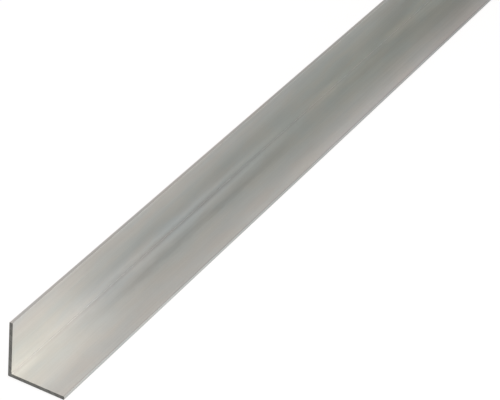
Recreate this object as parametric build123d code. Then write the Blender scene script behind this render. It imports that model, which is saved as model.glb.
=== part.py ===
from build123d import *
import os

# Equal-leg aluminium angle, 25 x 25 x 1.5 mm, one metre of extruded stock with two
# sawn ends. It is one piece of metal: an L pressed through a die and cut to length.
#
# Frame: X runs along the stock, Z is up and Y runs across the leg that lies flat.
# The origin is under the middle of the stock, at the floor. The base leg lies on
# the floor and points to -Y. The upright leg stands along the +Y side, so the
# inside of the L opens to the front.

# The section, as drawn for the die.
BASE_LEG = 25.0  # width of the leg that lies flat, heel to toe
UPRIGHT_LEG = 25.0  # height of the leg that stands, heel to toe
WALL = 1.5  # thickness of both legs
ROOT_RADIUS = 0.2  # fillet where the two inner faces meet
HEEL_RADIUS = 0.3  # round on the outer corner
TOE_RADIUS = 0.15  # round on both edges of each toe

# The stock, as sawn.
STOCK_LENGTH = 1000.0
DEBURR = 0.12  # bevel that takes the burr off the outline of a sawn end


def l_section():
    """The L as a face in the YZ plane, with its corners rounded as the die rounds them."""
    heel = Vector(BASE_LEG / 2, 0)
    root = heel + Vector(-WALL, WALL)
    base_toe = heel - Vector(BASE_LEG, 0)
    upright_toe = heel + Vector(0, UPRIGHT_LEG)

    corners_and_radii = [
        (heel, HEEL_RADIUS),
        (upright_toe, TOE_RADIUS),
        (upright_toe - Vector(WALL, 0), TOE_RADIUS),
        (root, ROOT_RADIUS),
        (base_toe + Vector(0, WALL), TOE_RADIUS),
        (base_toe, TOE_RADIUS),
    ]
    corners = [corner for corner, _ in corners_and_radii]
    radii = [radius for _, radius in corners_and_radii]
    outline = FilletPolyline(*corners, radius=radii, close=True)
    return Plane.YZ * make_face(outline)


def angle_section():
    """The L pushed along X to the stock length, with the burr taken off both sawn ends."""
    bar = extrude(l_section(), amount=STOCK_LENGTH / 2, both=True)
    sawn_ends = bar.faces().filter_by(Axis.X)
    return chamfer(sawn_ends.edges(), length=DEBURR)


os.makedirs("parts", exist_ok=True)
export_step(angle_section(), "parts/angle_section.step")
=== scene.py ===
"""The looks of a length of mill-finish aluminium angle: drawn faces, sawn ends and a studio."""

import logging
import math
from collections import Counter
from collections.abc import Callable
from dataclasses import dataclass
from enum import Enum

import bpy
from mathutils import Euler, Matrix, Vector


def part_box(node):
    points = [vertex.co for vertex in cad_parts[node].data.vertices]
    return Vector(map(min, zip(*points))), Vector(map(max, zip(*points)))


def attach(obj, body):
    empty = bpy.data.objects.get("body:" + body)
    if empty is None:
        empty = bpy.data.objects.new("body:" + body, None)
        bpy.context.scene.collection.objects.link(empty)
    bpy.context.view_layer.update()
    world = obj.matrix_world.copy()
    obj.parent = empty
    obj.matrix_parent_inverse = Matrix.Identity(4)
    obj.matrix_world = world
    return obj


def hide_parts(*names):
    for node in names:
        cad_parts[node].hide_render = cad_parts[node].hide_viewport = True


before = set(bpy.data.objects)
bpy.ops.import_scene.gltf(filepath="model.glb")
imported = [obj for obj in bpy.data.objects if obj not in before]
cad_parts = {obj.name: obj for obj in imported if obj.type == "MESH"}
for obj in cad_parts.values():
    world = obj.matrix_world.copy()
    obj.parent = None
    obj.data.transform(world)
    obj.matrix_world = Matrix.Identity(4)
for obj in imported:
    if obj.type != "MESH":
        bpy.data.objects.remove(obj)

log = logging.getLogger("angle_section")

MM = 0.001
NEAR = 1e-6  # places closer than this count as one, in metres
SAW_TURN = 35.0  # slope of the blade's marks on the ends, in degrees
NODE = "angle_section"
BODY = "root"

Socket = bpy.types.NodeSocket
Element = bpy.types.MeshEdge | bpy.types.MeshPolygon
Place = tuple[float, float, float]


class Surface(Enum):
    """The two kinds of surface on the stock. The value is the material's place on the mesh."""

    DRAWN = 0
    SAWN = 1


class Pick(Enum):
    """What a selection in edit mode is made of. The value is Blender's word for it."""

    EDGES = "EDGE"
    FACES = "FACE"


def deselect_all() -> None:
    """Leave nothing selected, so that the next operator acts on its own object alone."""
    bpy.ops.object.select_all(action="DESELECT")


def select_only(thing: bpy.types.Object) -> None:
    """Select one object and make it the active one.

    Args:
        thing: The object.
    """
    deselect_all()
    thing.select_set(True)
    bpy.context.view_layer.objects.active = thing


class Recipe:
    """A node tree in the making, with short ways to add nodes and join them."""

    def __init__(self, tree: bpy.types.NodeTree) -> None:
        """Take up the tree that the nodes go into."""
        self.tree = tree

    def feed(self, socket: Socket, value: Socket | float | tuple[float, ...]) -> None:
        """Join a socket to another one, or set it to a plain value.

        Args:
            socket: The input.
            value: The output that it is joined to, or its value.
        """
        if isinstance(value, bpy.types.NodeSocket):
            self.tree.links.new(value, socket)
        else:
            socket.default_value = value

    def add(self, kind: str, **settings: str | float | bool) -> bpy.types.Node:
        """Add a node.

        Args:
            kind: The end of its type's name, such as "Math".
            **settings: Its own settings, by name.

        Returns:
            The node.
        """
        node = self.tree.nodes.new(f"ShaderNode{kind}")
        for name, value in settings.items():
            setattr(node, name, value)
        return node

    def math(self, operation: str, *values: Socket | float) -> Socket:
        """Work out one sum.

        Args:
            operation: Blender's name for it, such as "MULTIPLY".
            *values: What goes in, in order.

        Returns:
            The result.
        """
        node = self.add("Math", operation=operation)
        for socket, value in zip(node.inputs, values):
            self.feed(socket, value)
        return node.outputs[0]

    def total(self, *values: Socket | float) -> Socket | float:
        """Add any number of values up.

        Args:
            *values: The values.

        Returns:
            Their sum.
        """
        result = values[0]
        for value in values[1:]:
            result = self.math("ADD", result, value)
        return result

    def ramp(
        self, value: Socket, start: float, stop: float, low: float = 0.0, high: float = 1.0
    ) -> Socket:
        """Pass smoothly from one level to another.

        Args:
            value: What the ramp depends on.
            start: Where it begins to leave the first level.
            stop: Where it reaches the second level.
            low: The first level.
            high: The second level.

        Returns:
            The level at the value.
        """
        node = self.add("MapRange", interpolation_type="SMOOTHSTEP")
        for name, given in (
            ("Value", value),
            ("From Min", start),
            ("From Max", stop),
            ("To Min", low),
            ("To Max", high),
        ):
            self.feed(node.inputs[name], given)
        return node.outputs["Result"]

    def mix(
        self,
        factor: Socket,
        first: Socket | tuple[float, ...],
        second: Socket | tuple[float, ...],
    ) -> Socket:
        """Mix two colours.

        Args:
            factor: The second colour's share.
            first: The first colour.
            second: The second colour.

        Returns:
            The mixed colour.
        """
        node = self.add("Mix", data_type="RGBA")
        # The sockets between these are for mixing numbers and vectors.
        factor_in, first_in, second_in = (node.inputs[i] for i in (0, 6, 7))
        self.feed(factor_in, factor)
        self.feed(first_in, first)
        self.feed(second_in, second)
        return node.outputs[2]


class Metal(Recipe):
    """A bare metal in the making. Its patterns lie on the object's own coordinates."""

    def __init__(self, name: str) -> None:
        """Start the material with its shader and the coordinates.

        Args:
            name: The material's name.
        """
        self.material = bpy.data.materials.new(name)
        self.material.use_nodes = True
        super().__init__(self.material.node_tree)
        self.shader = self.tree.nodes["Principled BSDF"]
        self.shader.inputs["Metallic"].default_value = 1
        self.place = self.add("TexCoord").outputs["Object"]

    def paint(self, colour: Socket | tuple[float, ...], tone: Socket) -> None:
        """Give the metal its colour.

        Args:
            colour: The colour at a tone of 1.
            tone: How light it is, place by place.
        """
        toned = self.add("VectorMath", operation="SCALE")
        self.feed(toned.inputs[0], colour)
        self.feed(toned.inputs["Scale"], tone)
        self.feed(self.shader.inputs["Base Color"], toned.outputs[0])

    def emboss(self, relief: Socket, height: float, strength: float = 0.5) -> None:
        """Raise fine lines on the metal, too fine for its mesh.

        Args:
            relief: How far the surface is raised, as a share of the height.
            height: The full height, in metres.
            strength: How much of it shows, from 0 to 1.
        """
        bump = self.add("Bump")
        self.feed(bump.inputs["Strength"], strength)
        self.feed(bump.inputs["Distance"], height)
        self.feed(bump.inputs["Height"], relief)
        self.feed(self.shader.inputs["Normal"], bump.outputs["Normal"])


@dataclass(frozen=True)
class Grain:
    """Noise with grains of a given size along each axis, in metres.

    The strength is how much the noise matters where it is added to something. The detail is
    the number of finer layers and rough is their share. The shift sets it apart from others.
    """

    size: Place
    strength: float = 1.0
    detail: float = 2.0
    rough: float = 0.5
    shift: float = 0.0

    def noise(self, recipe: Recipe, place: Socket) -> Socket:
        """Make the noise.

        Args:
            recipe: The material in the making.
            place: The coordinates.

        Returns:
            The noise, from about 0.3 to 0.7 with its middle at 0.5.
        """
        scaled = recipe.add("VectorMath", operation="MULTIPLY_ADD")
        recipe.feed(scaled.inputs[0], place)
        recipe.feed(scaled.inputs[1], tuple(1 / length for length in self.size))
        recipe.feed(scaled.inputs[2], (self.shift,) * 3)
        noise = recipe.add("TexNoise")
        recipe.feed(noise.inputs["Vector"], scaled.outputs[0])
        for name, value in (("Scale", 1.0), ("Detail", self.detail), ("Roughness", self.rough)):
            recipe.feed(noise.inputs[name], value)
        return noise.outputs["Fac"]

    def swing(self, recipe: Recipe, place: Socket) -> Socket:
        """Make the noise swing about nought.

        Args:
            recipe: The material in the making.
            place: The coordinates.

        Returns:
            The noise, with its middle at 0 and its range scaled by the strength.
        """
        noise = self.noise(recipe, place)
        return recipe.math("MULTIPLY_ADD", noise, self.strength, -self.strength / 2)


@dataclass(frozen=True)
class Streak:
    """A soft streak of another tone along the stock: some are streaks that the press leaves, and
    many are painted shade and painted light, such as the darker crease at the root.

    Across is the distance from the root, in millimetres: up the standing leg is positive and
    out along the base leg is negative. Begins and ends are distances from the low end, between
    which the streak rises and falls. Left out, they let it run along the whole stock. A depth
    under nought makes it lighter.
    """

    across: float
    half_width: float
    depth: float
    begins: tuple[float, float] = (-20.0, -10.0)
    ends: tuple[float, float] = (2000.0, 2010.0)

    def tone(self, recipe: Recipe, across: Socket, along: Socket) -> Socket:
        """Work out how much tone the streak takes away.

        Args:
            recipe: The material in the making.
            across: Distance from the root, in millimetres.
            along: Distance from the low end, in millimetres.

        Returns:
            The loss of tone, from 0 to the streak's depth.
        """
        offset = recipe.math("ABSOLUTE", recipe.math("SUBTRACT", across, self.across))
        body = recipe.ramp(offset, 0.0, self.half_width, self.depth, 0.0)
        risen = recipe.ramp(along, *self.begins)
        fallen = recipe.ramp(along, *self.ends, 1.0, 0.0)
        return recipe.math("MULTIPLY", body, recipe.math("MULTIPLY", risen, fallen))


@dataclass(frozen=True)
class Tint:
    """A place where the metal has a slightly other hue. Red and blue are factors on the colour."""

    where: Streak
    red: float
    blue: float

    def apply(self, recipe: Recipe, colour: Socket, across: Socket, along: Socket) -> Socket:
        """Tint a colour where the tint lies.

        Args:
            recipe: The material in the making.
            colour: The colour so far.
            across: Distance from the root, in millimetres.
            along: Distance from the low end, in millimetres.

        Returns:
            The tinted colour.
        """
        share = self.where.tone(recipe, across, along)
        factors = recipe.mix(share, (1, 1, 1, 1), (self.red, 1, self.blue, 1))
        tinted = recipe.add("VectorMath", operation="MULTIPLY")
        recipe.feed(tinted.inputs[0], colour)
        recipe.feed(tinted.inputs[1], factors)
        return tinted.outputs[0]


@dataclass(frozen=True)
class MillFinishAndPaintedLight:
    """Drawn aluminium as it comes from the press: satin, with fine lines and soft streaks. Its tone
    also carries painted shade and painted light, at the root, along the toes and along the stock.
    """

    root_y: float
    root_z: float
    low_x: float
    colour: tuple[float, float, float] = (0.608, 0.63, 0.61)
    roughness: float = 0.3
    roughness_spread: float = 0.16
    line_height: float = 0.012 * MM
    # The fine lines that vary the gloss and stand up a little.
    gloss_lines: tuple[Grain, ...] = (
        Grain((0.25, 0.5 * MM, 0.5 * MM), detail=4.0, rough=0.6, shift=5.0),
        Grain((0.1, 0.14 * MM, 0.14 * MM), rough=0.6, shift=29.0),
    )
    # Die lines, hair lines and soft clouds in the tone.
    tone_grains: tuple[Grain, ...] = (
        Grain((0.35, 0.7 * MM, 0.7 * MM), strength=0.1, detail=3.0, rough=0.6, shift=3.0),
        Grain((0.08, 0.16 * MM, 0.16 * MM), strength=0.16, rough=0.6, shift=23.0),
        Grain((0.03, 4 * MM, 4 * MM), strength=0.13, detail=3.0, shift=7.0),
    )
    # Patches of slightly warmer and cooler metal, and how far red and blue go either way.
    patches: Grain = Grain((0.025, 6 * MM, 6 * MM), shift=11.0)
    patch_edges: tuple[float, float] = (0.35, 0.65)
    patch_red: float = 0.017
    patch_blue: float = 0.012
    # How far the streaks stray from their lines, in millimetres.
    strays: tuple[Grain, ...] = (
        Grain((0.03, 1.0, 1.0), strength=1.6),
        Grain((0.012, 2.2 * MM, 2.2 * MM), strength=3.0, detail=3.0, rough=0.6, shift=17.0),
    )
    # Where that dies away towards the root and the toes, and the share of it that is left.
    root_calm: tuple[float, float] = (0.5, 4.0)
    root_stray: float = 0.1
    toe_calm: tuple[float, float] = (19.0, 22.5)
    toe_stray: float = 0.15
    # Bands along the whole stock, out to both toes: partly the press's streaks, partly painted
    # light and shade.
    press_bands_and_painted_light: tuple[Streak, ...] = (
        Streak(across=3.0, half_width=12.0, depth=-0.1),
        Streak(across=5.0, half_width=8.0, depth=-0.05),
        Streak(across=16.0, half_width=9.0, depth=-0.04),
        Streak(across=-4.2, half_width=4.5, depth=0.065),
        Streak(across=-13.0, half_width=8.0, depth=-0.05),
        Streak(across=-23.0, half_width=6.0, depth=-0.06),
    )
    # Painted shade in the crease at the root and the darker line beside it on the base leg, and
    # painted light on the upright's foot.
    root_painted_shade_and_light: tuple[Streak, ...] = (
        Streak(across=-0.3, half_width=1.0, depth=0.13),
        Streak(across=-0.75, half_width=1.3, depth=0.17, ends=(55, 85)),
        Streak(across=-2.0, half_width=3.0, depth=0.14, begins=(5, 25), ends=(60, 90)),
        Streak(across=-0.5, half_width=1.9, depth=0.2, begins=(40, 115), ends=(145, 240)),
        Streak(across=-1.0, half_width=1.2, depth=0.055, begins=(105, 130), ends=(142, 160)),
        Streak(across=-0.1, half_width=0.8, depth=0.09, begins=(165, 190)),
        Streak(across=-1.6, half_width=2.0, depth=0.1, begins=(250, 290), ends=(300, 325)),
        Streak(across=-6.7, half_width=3.2, depth=0.165, begins=(35, 85), ends=(145, 225)),
        Streak(across=0.6, half_width=0.9, depth=-0.08, ends=(170, 190)),
        Streak(across=1.2, half_width=2.6, depth=-0.18, ends=(50, 80)),
        Streak(across=1.5, half_width=3.0, depth=-0.06, begins=(75, 90), ends=(120, 140)),
        Streak(across=2.6, half_width=3.5, depth=-0.09, begins=(0, 30), ends=(140, 280)),
        Streak(across=1.3, half_width=2.6, depth=-0.06, begins=(155, 190)),
        Streak(across=1.0, half_width=4.0, depth=-0.05, begins=(300, 330), ends=(420, 560)),
    )
    # Patches of another tone on the upright leg, much of it painted light and shade that follows
    # how the light falls off along the stock.
    upright_tone_and_painted_light: tuple[Streak, ...] = (
        Streak(across=5.0, half_width=10.0, depth=-0.115, ends=(35, 60)),
        Streak(across=24.0, half_width=9.0, depth=0.06, ends=(40, 90)),
        Streak(across=23.0, half_width=1.5, depth=-0.05, begins=(15, 30), ends=(140, 170)),
        Streak(across=14.5, half_width=6.0, depth=-0.05, begins=(50, 70)),
        Streak(across=10.0, half_width=12.0, depth=-0.035, begins=(50, 75), ends=(130, 160)),
        Streak(across=22.0, half_width=7.0, depth=-0.05, begins=(50, 90), ends=(170, 220)),
        Streak(across=8.0, half_width=12.0, depth=-0.06, begins=(150, 200), ends=(230, 280)),
        Streak(across=17.0, half_width=5.0, depth=-0.05, begins=(150, 165), ends=(205, 225)),
        Streak(across=12.0, half_width=6.0, depth=-0.04, begins=(190, 220)),
        Streak(across=12.0, half_width=10.0, depth=-0.065, begins=(262, 282), ends=(288, 312)),
        Streak(across=6.0, half_width=6.0, depth=-0.075, begins=(328, 346), ends=(420, 560)),
        Streak(across=2.5, half_width=5.0, depth=-0.055, begins=(244, 258), ends=(288, 306)),
    )
    # Patches of another tone on the base leg, partly painted light and shade, and painted shade
    # over both legs towards the far end.
    base_tone_and_painted_light: tuple[Streak, ...] = (
        Streak(across=-13.0, half_width=10.0, depth=-0.05, ends=(25, 60)),
        Streak(across=-21.0, half_width=3.0, depth=0.04, begins=(20, 40), ends=(120, 150)),
        Streak(across=-16.0, half_width=6.0, depth=0.05, begins=(60, 100)),
        Streak(across=-10.0, half_width=4.5, depth=0.045, begins=(45, 60), ends=(195, 215)),
        Streak(across=-20.0, half_width=5.0, depth=-0.055, begins=(170, 210), ends=(250, 300)),
        Streak(across=-12.0, half_width=8.0, depth=0.07, begins=(240, 320), ends=(420, 560)),
        Streak(across=-21.0, half_width=6.0, depth=0.07, begins=(310, 345), ends=(420, 560)),
        Streak(across=-14.0, half_width=6.0, depth=-0.045, begins=(286, 298), ends=(310, 328)),
        Streak(across=-13.0, half_width=10.0, depth=0.12, begins=(320, 376), ends=(420, 560)),
        Streak(across=-3.8, half_width=3.0, depth=-0.055, begins=(326, 346), ends=(420, 560)),
        Streak(across=-4.0, half_width=3.0, depth=0.05, begins=(252, 264), ends=(280, 294)),
        Streak(across=0.0, half_width=80.0, depth=0.07, begins=(275, 350), ends=(420, 560)),
    )
    # Painted shade: the darker lines along both toes.
    toe_painted_shade: tuple[Streak, ...] = (
        Streak(across=-24.5, half_width=1.3, depth=0.33),
        Streak(across=-24.5, half_width=1.3, depth=0.2, begins=(60, 200)),
        Streak(across=-23.5, half_width=0.9, depth=0.18),
        Streak(across=-24.2, half_width=1.5, depth=0.08, begins=(230, 290)),
        Streak(across=23.9, half_width=1.0, depth=0.1),
        Streak(across=23.9, half_width=1.0, depth=0.09, begins=(30, 60), ends=(265, 300)),
        Streak(across=24.4, half_width=1.0, depth=0.06, begins=(140, 200)),
    )
    # Cooler by the root and warmer by the toes, and a little greener towards the far end.
    tints: tuple[Tint, ...] = (
        Tint(Streak(1.0, 20.0, 0.5, begins=(10, 60), ends=(130, 220)), red=0.985, blue=1.06),
        Tint(Streak(20.0, 11.0, 1.0, ends=(150, 260)), red=1.024, blue=1.01),
        Tint(Streak(-8.0, 12.0, 1.0, begins=(60, 120)), red=0.982, blue=0.997),
        Tint(Streak(-6.0, 16.0, 1.0, begins=(235, 275)), red=0.995, blue=0.985),
        Tint(Streak(-24.0, 6.0, 1.0, begins=(190, 220)), red=1.025, blue=1.012),
    )

    def material(self) -> bpy.types.Material:
        """Make the material.

        Returns:
            The material, which reads Object coordinates only.
        """
        recipe = Metal("mill_aluminium_painted_light")
        axes = recipe.add("SeparateXYZ")
        recipe.feed(axes.inputs[0], recipe.place)
        along = self._millimetres(recipe, axes.outputs["X"], self.low_x)
        across = recipe.total(
            self._millimetres(recipe, axes.outputs["Y"], self.root_y),
            self._millimetres(recipe, axes.outputs["Z"], self.root_z),
        )
        recipe.paint(self._colour(recipe, across, along), self._tone_with_painted_light(recipe, across, along))
        self._gloss(recipe)
        return recipe.material

    def _millimetres(self, recipe: Metal, value: Socket, start: float) -> Socket:
        """Give a coordinate in millimetres from a starting plane."""
        return recipe.math("MULTIPLY", recipe.math("SUBTRACT", value, start), 1 / MM)

    def _stray(self, recipe: Metal, across: Socket) -> Socket:
        """Work out how far the streaks stray to one side.

        Args:
            recipe: The material in the making.
            across: Distance from the root, in millimetres.

        Returns:
            The way to the side, in millimetres.
        """
        stray = recipe.total(*(grain.swing(recipe, recipe.place) for grain in self.strays))
        away = recipe.math("ABSOLUTE", across)
        by_toes = recipe.ramp(away, *self.toe_calm, 1.0, self.toe_stray)
        by_root = recipe.ramp(away, *self.root_calm, self.root_stray, 1.0)
        return recipe.math("MULTIPLY", stray, recipe.math("MULTIPLY", by_toes, by_root))

    def _tone_with_painted_light(self, recipe: Metal, across: Socket, along: Socket) -> Socket:
        """Work out the tone, with its painted shade and painted light.

        Args:
            recipe: The material in the making.
            across: Distance from the root, in millimetres.
            along: Distance from the low end, in millimetres.

        Returns:
            The tone, where 1 is the plain metal and less is darker.
        """
        # Painted shade and painted light are among these streaks.
        streaks = (
            *self.press_bands_and_painted_light,
            *self.root_painted_shade_and_light,
            *self.upright_tone_and_painted_light,
            *self.base_tone_and_painted_light,
            *self.toe_painted_shade,
        )
        strayed = recipe.math("ADD", across, self._stray(recipe, across))
        losses = [streak.tone(recipe, strayed, along) for streak in streaks]
        losses += [grain.swing(recipe, recipe.place) for grain in self.tone_grains]
        return recipe.math("SUBTRACT", 1.0, recipe.total(*losses))

    def _colour(self, recipe: Metal, across: Socket, along: Socket) -> Socket:
        """Work out the colour, with its patches and tints.

        Args:
            recipe: The material in the making.
            across: Distance from the root, in millimetres.
            along: Distance from the low end, in millimetres.

        Returns:
            The colour at a tone of 1.
        """
        red, green, blue = self.colour
        colour = recipe.mix(
            recipe.ramp(self.patches.noise(recipe, recipe.place), *self.patch_edges),
            (red * (1 - self.patch_red), green, blue * (1 + self.patch_blue), 1),
            (red * (1 + self.patch_red), green, blue * (1 - self.patch_blue), 1),
        )
        for tint in self.tints:
            colour = tint.apply(recipe, colour, across, along)
        return colour

    def _gloss(self, recipe: Metal) -> None:
        """Vary the roughness from line to line, and raise the finest lines.

        Args:
            recipe: The material in the making.
        """
        noises = [grain.noise(recipe, recipe.place) for grain in self.gloss_lines]
        lines = recipe.math("MULTIPLY", recipe.total(*noises), 1 / len(noises))
        spread = self.roughness_spread
        rough = recipe.math("MULTIPLY_ADD", lines, spread, self.roughness - spread / 2)
        recipe.feed(recipe.shader.inputs["Roughness"], rough)
        recipe.emboss(lines, self.line_height)


@dataclass(frozen=True)
class SawnFinishAndPaintedShade:
    """The sawn ends: darker and rougher, with the marks of the blade. Their dark colour is partly
    the rough sawn metal and partly painted shade.
    """

    # Painted shade: darker than the bare metal, partly for the rough sawn surface.
    colour: tuple[float, float, float] = (0.16, 0.16, 0.15)
    marks: Grain = Grain((5 * MM, 8 * MM, 0.35 * MM), detail=4.0, rough=0.6)
    mark_height: float = 0.03 * MM
    # The span of the marks' noise, and the tones and roughnesses that it is spread over.
    span: tuple[float, float] = (0.3, 0.7)
    tones: tuple[float, float] = (0.7, 1.35)
    roughnesses: tuple[float, float] = (0.62, 0.48)

    def material(self) -> bpy.types.Material:
        """Make the material.

        Returns:
            The material, which reads Object coordinates only.
        """
        recipe = Metal("sawn_aluminium_painted_shade")
        turned = recipe.add("Mapping")
        recipe.feed(turned.inputs["Vector"], recipe.place)
        recipe.feed(turned.inputs["Rotation"], (math.radians(-SAW_TURN), 0, 0))
        marks = self.marks.noise(recipe, turned.outputs[0])
        recipe.paint(self.colour, recipe.ramp(marks, *self.span, *self.tones))
        rough = recipe.ramp(marks, *self.span, *self.roughnesses)
        recipe.feed(recipe.shader.inputs["Roughness"], rough)
        recipe.emboss(marks, self.mark_height)
        return recipe.material


@dataclass(frozen=True)
class Relief:
    """A slight unevenness of a surface, cut into it by a Displace modifier.

    The size is that of one wave of the relief in the object's axes, so a long, narrow one
    gives lines along the stock. The turn is in degrees about each axis.
    """

    name: str
    surface: Surface
    size: Place
    depth: float
    detail: int = 2
    turn: Place = (0.0, 0.0, 0.0)

    def cut(self, bar: bpy.types.Object) -> None:
        """Press the relief into the bar. It only ever goes inwards, so the size is kept.

        Args:
            bar: The active object, in object mode.
        """
        grid = bpy.data.objects.new(f"{self.name}_grid", None)
        bpy.context.scene.collection.objects.link(grid)
        turned = Euler([math.radians(angle) for angle in self.turn]).to_matrix().to_4x4()
        grid.matrix_world = turned @ Matrix.Diagonal((*self.size, 1))
        bpy.context.view_layer.update()
        waves = bpy.data.textures.new(self.name, "CLOUDS")
        waves.noise_scale = 1
        waves.noise_depth = self.detail
        bpy.ops.object.modifier_add(type="DISPLACE")
        press = bar.modifiers[-1]
        press.texture = waves
        press.texture_coords = "OBJECT"
        press.texture_coords_object = grid
        press.vertex_group = self.surface.name
        press.mid_level = 1
        press.strength = self.depth
        bpy.ops.object.modifier_apply(modifier=press.name)
        bpy.data.objects.remove(grid)
        bpy.data.textures.remove(waves)


@dataclass
class AngleBar:
    """The angle as it leaves the saw: an L with rounded corners, in metres, in the row frame.

    The base leg lies on the floor and the upright leg stands along the +Y side. A corner of
    the section is given by its place across the stock and its height.
    """

    low: Vector
    high: Vector
    wall: float = 1.5 * MM
    root_radius: float = 0.2 * MM
    heel_radius: float = 0.3 * MM
    toe_radius: float = 0.15 * MM
    deburr: float = 0.12 * MM
    # How many faces make each round, and the bevel of the ends.
    root_faces: int = 5
    heel_faces: int = 4
    toe_faces: int = 3
    deburr_faces: int = 2
    # How many cuts carry the relief: along each leg, through the wall at the ends, and across.
    strips: int = 64
    wall_strips: int = 5
    slices: int = 80
    # Which faces look along the stock, by that part of their normal: the ends, and their bevel.
    end_look: float = 0.9
    bevel_look: float = 0.3
    # Which points lie on a flat face, by the same part along any axis.
    flat_look: float = 0.999
    # Over this distance from a long corner the relief of the long faces comes up to its depth.
    fade: float = 2 * MM
    # Edges with a larger angle between their faces are shaded sharp, in degrees.
    sharp: float = 40.0
    reliefs: tuple[Relief, ...] = (
        Relief("press_waves", Surface.DRAWN, (0.22, 7 * MM, 7 * MM), 0.03 * MM),
        Relief("die_lines", Surface.DRAWN, (0.9, 0.8 * MM, 0.8 * MM), 0.008 * MM, detail=1),
        Relief(
            "saw_marks", Surface.SAWN, (5 * MM, 12 * MM, 0.7 * MM), 0.05 * MM, turn=(SAW_TURN, 0, 0)
        ),
    )

    @property
    def length(self) -> float:
        """Length of the stock."""
        return self.high.x - self.low.x

    @property
    def leg(self) -> float:
        """Width of a leg, heel to toe."""
        return self.high.z - self.low.z

    @property
    def root(self) -> tuple[float, float]:
        """The inner corner, where the inner faces of the two legs meet."""
        return self.high.y - self.wall, self.low.z + self.wall

    @property
    def heel(self) -> tuple[float, float]:
        """The outer corner."""
        return self.high.y, self.low.z

    @property
    def toes(self) -> tuple[tuple[float, float], ...]:
        """The toes' corners.

        Returns:
            The two edges of the upright leg's toe, and then those of the base leg's.
        """
        root_y, root_z = self.root
        return (
            (self.high.y, self.high.z),
            (root_y, self.high.z),
            (self.low.y, self.low.z),
            (self.low.y, root_z),
        )

    def build(self) -> bpy.types.Object:
        """Model the bar and give it its finishes.

        Returns:
            The finished mesh object, at the origin and unturned.
        """
        bar = self._base_leg()
        self._raise_upright(bar)
        self._round_corners(bar)
        self._cut_strips(bar)
        self._deburr_ends(bar)
        self._cut_ends(bar)
        self._slice(bar)
        self._mark(bar)
        self._dress(bar)
        self._press_relief(bar)
        self._smooth(bar)
        return bar

    def _base_leg(self) -> bpy.types.Object:
        """Lay the base leg as a flat strip on the floor.

        Returns:
            The strip.
        """
        deselect_all()
        centre = (self.low + self.high) / 2
        bpy.ops.mesh.primitive_cube_add(
            size=1,
            location=(centre.x, centre.y, self.low.z + self.wall / 2),
            scale=(self.length, self.high.y - self.low.y, self.wall),
        )
        bar = bpy.context.active_object
        bar.name = "drawn_angle"
        bpy.ops.object.transform_apply(location=True, rotation=True, scale=True)
        return bar

    def _select(
        self, bar: bpy.types.Object, pick: Pick, test: Callable[[Element, list[Vector]], bool]
    ) -> None:
        """Select the edges or faces that pass a test, and stay in edit mode.

        Args:
            bar: The object being edited, in object mode.
            pick: Whether edges or faces are meant.
            test: Takes an edge or face and its points, and says whether it is wanted.
        """
        mesh = bar.data
        bpy.ops.object.mode_set(mode="EDIT")
        bpy.ops.mesh.select_mode(type=pick.value)
        bpy.ops.mesh.select_all(action="DESELECT")
        bpy.ops.object.mode_set(mode="OBJECT")
        for element in mesh.edges if pick is Pick.EDGES else mesh.polygons:
            points = [mesh.vertices[i].co for i in element.vertices]
            element.select = bool(test(element, points))
        bpy.ops.object.mode_set(mode="EDIT")

    def _leg_planes(self, step: float) -> tuple[tuple[Place, Place], tuple[Place, Place]]:
        """Give the planes across the two legs at one distance from the heel's outer faces.

        Args:
            step: The distance.

        Returns:
            A point and the normal, for the base leg and then for the upright one.
        """
        base = (0.0, self.high.y - step, 0.0), (0.0, 1.0, 0.0)
        upright = (0.0, 0.0, self.low.z + step), (0.0, 0.0, 1.0)
        return base, upright

    def _raise_upright(self, bar: bpy.types.Object) -> None:
        """Cut the base leg's top face at the root and pull the strip beyond it up.

        Args:
            bar: The base leg.
        """
        root_y, root_z = self.root
        bpy.ops.object.mode_set(mode="EDIT")
        bpy.ops.mesh.select_all(action="SELECT")
        bpy.ops.mesh.bisect(plane_co=(0, root_y, 0), plane_no=(0, 1, 0))
        bpy.ops.object.mode_set(mode="OBJECT")

        def is_strip(_: Element, points: list[Vector]) -> bool:
            """Whether a face is the top of the heel strip."""
            return all(p.z > root_z - NEAR and p.y > root_y - NEAR for p in points)

        self._select(bar, Pick.FACES, is_strip)
        bpy.ops.mesh.extrude_region_move(
            TRANSFORM_OT_translate={"value": (0, 0, self.leg - self.wall)}
        )
        bpy.ops.object.mode_set(mode="OBJECT")

    def _round_corners(self, bar: bpy.types.Object) -> None:
        """Round the root, the heel and the four toe edges along the stock.

        Args:
            bar: The bar, with its corners still sharp.
        """
        self._round_edge(bar, self.root, self.root_radius, self.root_faces)
        self._round_edge(bar, self.heel, self.heel_radius, self.heel_faces)
        for toe in self.toes:
            self._round_edge(bar, toe, self.toe_radius, self.toe_faces)

    def _round_edge(
        self, bar: bpy.types.Object, corner: tuple[float, float], radius: float, faces: int
    ) -> None:
        """Bevel the long edge at one corner of the section.

        Args:
            bar: The object being edited.
            corner: The corner of the section.
            radius: Radius of the round.
            faces: Number of faces in the round.
        """
        y, z = corner

        def is_edge(_: Element, points: list[Vector]) -> bool:
            """Whether an edge runs along the stock at this corner."""
            return all(abs(p.y - y) < NEAR and abs(p.z - z) < NEAR for p in points)

        self._select(bar, Pick.EDGES, is_edge)
        bpy.ops.mesh.bevel(offset=radius, offset_type="OFFSET", segments=faces, affect="EDGES")
        bpy.ops.object.mode_set(mode="OBJECT")

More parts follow.
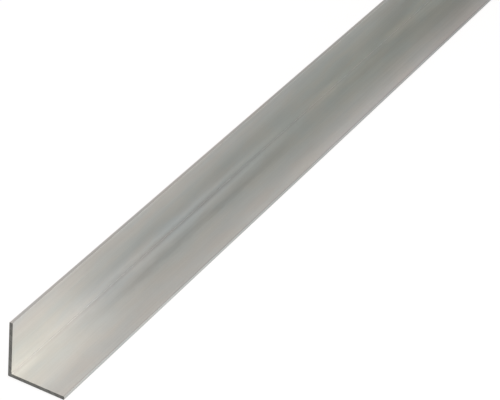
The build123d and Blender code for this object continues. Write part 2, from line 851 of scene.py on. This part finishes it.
    def _cut_strips(self, bar: bpy.types.Object) -> None:
        """Cut both legs right through into strips along the stock, to carry the relief.

        Args:
            bar: The bar, with its corners rounded. Not used: the cuts act on the active object.
        """
        clear = self.wall + self.root_radius
        reach = self.leg - self.toe_radius - clear
        bpy.ops.object.mode_set(mode="EDIT")
        for i in range(self.strips):
            for place, normal in self._leg_planes(clear + reach * (i + 0.5) / self.strips):
                bpy.ops.mesh.select_all(action="SELECT")
                bpy.ops.mesh.bisect(plane_co=place, plane_no=normal, threshold=NEAR)
        bpy.ops.object.mode_set(mode="OBJECT")

    def _deburr_ends(self, bar: bpy.types.Object) -> None:
        """Bevel the outline of both sawn ends.

        Args:
            bar: The bar, with its legs in strips.
        """
        ends = [face for face in bar.data.polygons if abs(face.normal.x) > self.end_look]
        end_faces = Counter(key for face in ends for key in face.edge_keys)
        self._select(bar, Pick.EDGES, lambda edge, _: end_faces[edge.key] == 1)
        bpy.ops.mesh.bevel(offset=self.deburr, segments=self.deburr_faces, affect="EDGES")
        bpy.ops.object.mode_set(mode="OBJECT")

    def _cut_ends(self, bar: bpy.types.Object) -> None:
        """Cut the sawn ends through the wall too, so that the saw marks have something to move.

        Args:
            bar: The bar, with its ends deburred.
        """

        def is_end(_: Element, points: list[Vector]) -> bool:
            """Whether a face lies flat on a sawn end."""
            return all(abs(abs(p.x) - self.length / 2) < NEAR for p in points)

        for i in range(self.wall_strips):
            for place, normal in self._leg_planes(self.wall * (i + 1) / (self.wall_strips + 1)):
                self._select(bar, Pick.FACES, is_end)
                bpy.ops.mesh.bisect(plane_co=place, plane_no=normal, threshold=NEAR)
                bpy.ops.object.mode_set(mode="OBJECT")
        bpy.ops.object.mode_set(mode="EDIT")
        bpy.ops.mesh.select_all(action="SELECT")
        bpy.ops.mesh.remove_doubles(threshold=2 * NEAR)
        bpy.ops.object.mode_set(mode="OBJECT")

    def _slice(self, bar: bpy.types.Object) -> None:
        """Cut the long faces across, so that they can carry relief.

        Args:
            bar: The bar, with its ends cut.
        """
        half = self.length / 2
        self._select(bar, Pick.EDGES, lambda _, points: abs(points[0].x - points[1].x) > half)
        bpy.ops.mesh.subdivide(number_cuts=self.slices, smoothness=0)
        bpy.ops.object.mode_set(mode="OBJECT")

    def _mark(self, bar: bpy.types.Object) -> None:
        """Say how far the relief reaches: all over the sawn ends, and less by the long corners.

        Args:
            bar: The bar, with all its cuts.
        """
        corners = (self.root, self.heel, *self.toes)
        drawn = bar.vertex_groups.new(name=Surface.DRAWN.name)
        sawn = bar.vertex_groups.new(name=Surface.SAWN.name)
        for point in bar.data.vertices:
            if abs(point.normal.x) > self.flat_look:
                sawn.add([point.index], 1, "REPLACE")
            elif max(abs(point.normal.y), abs(point.normal.z)) > self.flat_look:
                gap = min(math.hypot(point.co.y - y, point.co.z - z) for y, z in corners)
                drawn.add([point.index], min(1.0, gap / self.fade), "REPLACE")

    def _dress(self, bar: bpy.types.Object) -> None:
        """Give the bar its finishes, which carry painted light and shade: mill finish all over, and
        the sawn finish on both ends.

        Args:
            bar: The bar, before its relief.
        """
        root_y, root_z = self.root
        mill = MillFinishAndPaintedLight(root_y=root_y, root_z=root_z, low_x=self.low.x)
        bar.data.materials.append(mill.material())
        bar.data.materials.append(SawnFinishAndPaintedShade().material())
        for face in bar.data.polygons:
            kind = Surface.SAWN if abs(face.normal.x) > self.bevel_look else Surface.DRAWN
            face.material_index = kind.value

    def _press_relief(self, bar: bpy.types.Object) -> None:
        """Give the bar what the press and the saw leave: waves, die lines and saw marks.

        Args:
            bar: The bar, with the reach of its relief marked.
        """
        select_only(bar)
        for relief in self.reliefs:
            relief.cut(bar)

    def _smooth(self, bar: bpy.types.Object) -> None:
        """Shade the bar smooth, apart from its sharp edges.

        Args:
            bar: The bar, with its relief.
        """
        select_only(bar)
        bpy.ops.object.shade_smooth_by_angle(angle=math.radians(self.sharp))
        bpy.ops.object.modifier_add(type="WEIGHTED_NORMAL")
        flatten = bar.modifiers[-1]
        flatten.keep_sharp = True
        flatten.weight = 100
        bpy.ops.object.modifier_apply(modifier=flatten.name)


@dataclass(frozen=True)
class Viewpoint:
    """The camera, by the point of the floor that it looks at.

    The heading turns from +X towards +Y, the tilt is how far it looks down, and the roll is
    about its line of sight, all in degrees. The lens and the sensor are in millimetres.
    """

    aim: Place = (-0.34289, -0.00295, 0.0)
    distance: float = 0.95666
    heading: float = 26.361
    tilt: float = 33.592
    roll: float = 5.572
    lens: float = 163.0
    sensor: float = 36.0
    clip: tuple[float, float] = (0.01, 100.0)

    def place(self) -> bpy.types.Object:
        """Make the camera and set it as the scene's.

        Returns:
            The camera.
        """
        data = bpy.data.cameras.new("camera")
        data.lens = self.lens
        data.sensor_width = self.sensor
        data.clip_start, data.clip_end = self.clip
        camera = bpy.data.objects.new("camera", data)
        bpy.context.scene.collection.objects.link(camera)
        forward = self._forward()
        level = (-forward).to_track_quat("Z", "Y").to_matrix()
        turned = level @ Matrix.Rotation(math.radians(self.roll), 3, "Z")
        at = Vector(self.aim) - forward * self.distance
        camera.matrix_world = Matrix.Translation(at) @ turned.to_4x4()
        bpy.context.scene.camera = camera
        return camera

    def _forward(self) -> Vector:
        """Work out the way that the camera looks.

        Returns:
            The direction, one unit long.
        """
        heading, tilt = math.radians(self.heading), math.radians(self.tilt)
        level = math.cos(tilt)
        return Vector((math.cos(heading) * level, math.sin(heading) * level, -math.sin(tilt)))


@dataclass(frozen=True)
class Panel:
    """A square soft light. The level is its strength for its size."""

    name: str
    at: Place
    aim: Place
    side: float
    level: float

    def hang(self, colour: tuple[float, float, float]) -> bpy.types.Object:
        """Hang the panel, out of the camera's sight.

        Args:
            colour: The light's colour.

        Returns:
            The lamp.
        """
        data = bpy.data.lights.new(self.name, "AREA")
        data.size = self.side
        data.color = colour
        data.energy = math.pi * self.side**2 * self.level
        lamp = bpy.data.objects.new(self.name, data)
        bpy.context.scene.collection.objects.link(lamp)
        towards = Vector(self.aim) - Vector(self.at)
        turned = towards.to_track_quat("-Z", "Y").to_matrix().to_4x4()
        lamp.matrix_world = Matrix.Translation(self.at) @ turned
        lamp.visible_camera = False
        return lamp


@dataclass(frozen=True)
class Paper:
    """The floor's finish: matt white paper, which looks white to the camera and in the metal."""

    shade: float = 0.3
    glow: float = 0.835

    def material(self) -> bpy.types.Material:
        """Make the material.

        Returns:
            The material, whose glow lights nothing.
        """
        made = bpy.data.materials.new("white_floor")
        made.use_nodes = True
        recipe = Recipe(made.node_tree)
        recipe.tree.nodes.clear()
        matt = recipe.add("BsdfDiffuse")
        recipe.feed(matt.inputs["Color"], (self.shade, self.shade, self.shade, 1))
        glow = recipe.add("Emission")
        recipe.feed(glow.inputs["Strength"], self.glow)
        bright = recipe.add("AddShader")
        recipe.feed(bright.inputs[0], matt.outputs[0])
        recipe.feed(bright.inputs[1], glow.outputs[0])
        path = recipe.add("LightPath")
        seen = path.outputs["Is Camera Ray"]
        for ray in ("Is Glossy Ray", "Is Transmission Ray"):
            seen = recipe.math("MAXIMUM", seen, path.outputs[ray])
        either = recipe.add("MixShader")
        recipe.feed(either.inputs[0], seen)
        recipe.feed(either.inputs[1], matt.outputs[0])
        recipe.feed(either.inputs[2], bright.outputs[0])
        out = recipe.add("OutputMaterial")
        recipe.feed(out.inputs["Surface"], either.outputs[0])
        return made


@dataclass(frozen=True)
class Sky:
    """An even light all round, which turns white towards the horizon."""

    level: float = 0.56
    colour: tuple[float, float, float] = (1.068, 1.0, 0.972)
    # Between these heights of the line of sight, as sines, white gives way to the sky.
    climb: tuple[float, float] = (0.07, 0.2)

    def surround(self) -> None:
        """Make the world and set it as the scene's."""
        world = bpy.data.worlds.new("studio")
        world.use_nodes = True
        recipe = Recipe(world.node_tree)
        axes = recipe.add("SeparateXYZ")
        recipe.feed(axes.inputs[0], recipe.add("TexCoord").outputs["Generated"])
        risen = recipe.ramp(axes.outputs["Z"], *self.climb)
        sky = (*(self.level * part for part in self.colour), 1)
        background = recipe.tree.nodes["Background"]
        recipe.feed(background.inputs["Color"], recipe.mix(risen, (1, 1, 1, 1), sky))
        bpy.context.scene.world = world


@dataclass(frozen=True)
class Studio:
    """A white floor, an even sky with a white horizon, and soft panels over the low end."""

    floor_radius: float = 40.0
    floor_sides: int = 64
    paper: Paper = Paper()
    sky: Sky = Sky()
    panel_colour: tuple[float, float, float] = (1.0, 0.9, 0.855)
    panels: tuple[Panel, ...] = (
        Panel(
            "near_panel", at=(-0.4142, -0.0869, 0.1289), aim=(-0.54, 0, 0), side=0.14, level=0.95
        ),
        Panel(
            "wide_panel", at=(-0.2806, -0.1152, 0.1710), aim=(-0.47, 0, 0), side=0.196, level=0.32
        ),
        Panel(
            "back_panel", at=(-0.3653, 0.0875, 0.1784), aim=(-0.5, 0, 0), side=0.11, level=0.22
        ),
        Panel("far_panel", at=(0.26, 0.494, 0.423), aim=(-0.5, 0, 0), side=0.5, level=0.134),
    )

    def build(self) -> None:
        """Make the floor, the sky and the lamps."""
        self._lay_floor()
        self.sky.surround()
        for panel in self.panels:
            panel.hang(self.panel_colour)

    def _lay_floor(self) -> None:
        """Lay a wide floor, which keeps the bar's shadow."""
        deselect_all()
        bpy.ops.mesh.primitive_circle_add(
            vertices=self.floor_sides, radius=self.floor_radius, fill_type="NGON"
        )
        floor = bpy.context.active_object
        floor.name = "floor"
        floor.data.materials.append(self.paper.material())


def main() -> None:
    """Build the angle, the camera and the studio."""
    logging.basicConfig(level=logging.INFO, format="%(name)s: %(message)s")
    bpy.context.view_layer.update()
    bpy.context.scene.view_settings.view_transform = "Standard"

    low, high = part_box(NODE)
    bar = AngleBar(low, high).build()
    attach(bar, BODY)
    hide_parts(NODE)
    log.info("%s has %d faces", bar.name, len(bar.data.polygons))

    Viewpoint().place()
    Studio().build()


if __name__ == "__main__":
    main()
